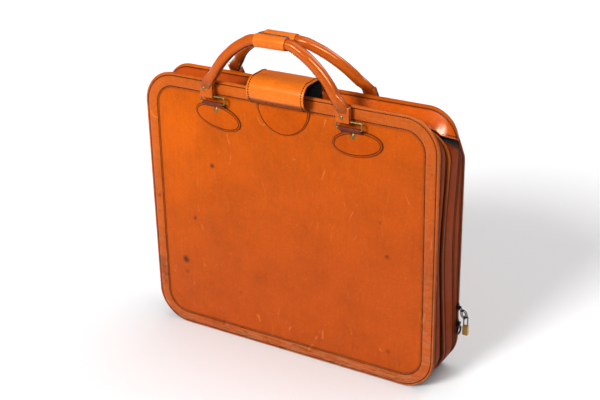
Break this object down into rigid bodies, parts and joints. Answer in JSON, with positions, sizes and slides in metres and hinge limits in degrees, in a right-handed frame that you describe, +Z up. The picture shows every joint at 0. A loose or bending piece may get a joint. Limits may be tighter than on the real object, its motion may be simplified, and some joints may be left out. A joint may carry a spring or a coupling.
{
  "type": "suitcase",
  "caption": "Slim orange-tan leather suitcase with two rolled handles on rings, a front pocket with an arched flap, a zipped back lid and a small padlock",
  "frame": {"origin": "on the floor under the middle of the case's width and depth", "axes": "X along the width to the right seen from the front, Y from the front to the back, Z up"},
  "size_m": [0.5417, 0.1197, 0.5459],
  "materials": {
    "tan_leather": "orange-tan vegetable leather, waxed, semi-gloss",
    "brown_leather": "reddish brown bridle leather, satin",
    "lining_cloth": "black woven lining",
    "antique_brass": "antique brass, lightly worn",
    "plated_steel": "bright nickel plate",
    "zip_tape": "black zip tape with a grey coil",
    "black_metal": "black lacquered zinc",
    "stiff_board": "pressed board"
  },
  "bodies": {
    "case": {"front_panel": "tan_leather", "front_border": "tan_leather", "front_lining": "lining_cloth", "flap_landing": "tan_leather", "catch_plate": "plated_steel", "pocket_gusset": "brown_leather", "pocket_lining": "lining_cloth", "divider": "tan_leather", "divider_rim": "tan_leather", "main_lining": "lining_cloth", "gusset_middle_band": "brown_leather", "gusset_rear_band": "brown_leather", "base_board": "stiff_board", "hinge_strip": "brown_leather", "zip_tape_case": "zip_tape", "flap_strap": "tan_leather", "front_patch_left": "tan_leather", "front_patch_right": "tan_leather", "front_chape_left": "brown_leather", "front_chape_right": "brown_leather", "front_studs": "antique_brass"},
    "lid": {"back_panel": "tan_leather", "back_border": "tan_leather", "lid_lining": "lining_cloth", "top_strip": "tan_leather", "top_binding": "brown_leather", "zip_tape_lid": "zip_tape", "rear_patch_left": "tan_leather", "rear_patch_right": "tan_leather", "rear_chape_left": "brown_leather", "rear_chape_right": "brown_leather", "rear_studs": "antique_brass"},
    "front_rings": {"front_ring_left": "antique_brass", "front_ring_right": "antique_brass"},
    "front_handle": {"front_handle": "tan_leather", "front_grip": "tan_leather", "front_handle_rivets": "antique_brass", "clasp_bar": "plated_steel"},
    "rear_rings": {"rear_ring_left": "antique_brass", "rear_ring_right": "antique_brass"},
    "rear_handle": {"rear_handle": "tan_leather", "rear_grip": "tan_leather", "rear_handle_rivets": "antique_brass"},
    "flap": {"flap_leather": "tan_leather", "flap_lining": "lining_cloth", "flap_magnet": "plated_steel"},
    "upper_slider": {"upper_slider": "black_metal"},
    "lower_slider": {"lower_slider": "black_metal"},
    "upper_pull": {"upper_pull": "black_metal"},
    "lower_pull": {"lower_pull": "black_metal"},
    "padlock_shackle": {"padlock_shackle": "plated_steel"},
    "padlock_body": {"padlock_body": "antique_brass"}
  },
  "joints": [
    {"name": "lid_hinge", "type": "hinge", "parent": "case", "child": "lid", "pos_m": [0, 0.0475, 0], "axis": [-1, 0, 0], "range_deg": [0, 85]},
    {"name": "front_ring_hinge", "type": "hinge", "parent": "case", "child": "front_rings", "pos_m": [0, -0.057, 0.4215], "axis": [1, 0, 0], "range_deg": [0, 90]},
    {"name": "front_handle_hinge", "type": "hinge", "parent": "front_rings", "child": "front_handle", "pos_m": [0, -0.057, 0.433], "axis": [1, 0, 0], "range_deg": [0, 85]},
    {"name": "rear_ring_hinge", "type": "hinge", "parent": "lid", "child": "rear_rings", "pos_m": [0, 0.027, 0.432], "axis": [-1, 0, 0], "range_deg": [0, 90]},
    {"name": "rear_handle_hinge", "type": "hinge", "parent": "rear_rings", "child": "rear_handle", "pos_m": [0, 0.027, 0.4435], "axis": [-1, 0, 0], "range_deg": [0, 100]},
    {"name": "flap_hinge", "type": "hinge", "parent": "case", "child": "flap", "pos_m": [0, -0.0111, 0.455], "axis": [-1, 0, 0], "range_deg": [0, 60]},
    {"name": "upper_slider_travel", "type": "slide", "parent": "case", "child": "upper_slider", "axis": [0, 0, 1], "range_m": [0, 0.235]},
    {"name": "lower_slider_travel", "type": "slide", "parent": "case", "child": "lower_slider", "axis": [0, 0, 1], "range_m": [-0.02, 0]},
    {"name": "upper_pull_hinge", "type": "hinge", "parent": "upper_slider", "child": "upper_pull", "pos_m": [0.2647, 0.0405, 0.112], "axis": [0, -1, 0], "range_deg": [0, 95]},
    {"name": "lower_pull_hinge", "type": "hinge", "parent": "lower_slider", "child": "lower_pull", "pos_m": [0.2647, 0.0405, 0.084], "axis": [0, -1, 0], "range_deg": [0, 12]},
    {"name": "shackle_swing", "type": "hinge", "parent": "upper_pull", "child": "padlock_shackle", "pos_m": [0.27563, 0.0405, 0.09695], "axis": [0, -1, 0], "range_deg": [0, 90]},
    {"name": "padlock_body_slide", "type": "slide", "parent": "padlock_shackle", "child": "padlock_body", "axis": [0, 0, -1], "range_m": [0, 0.004]}
  ]
}
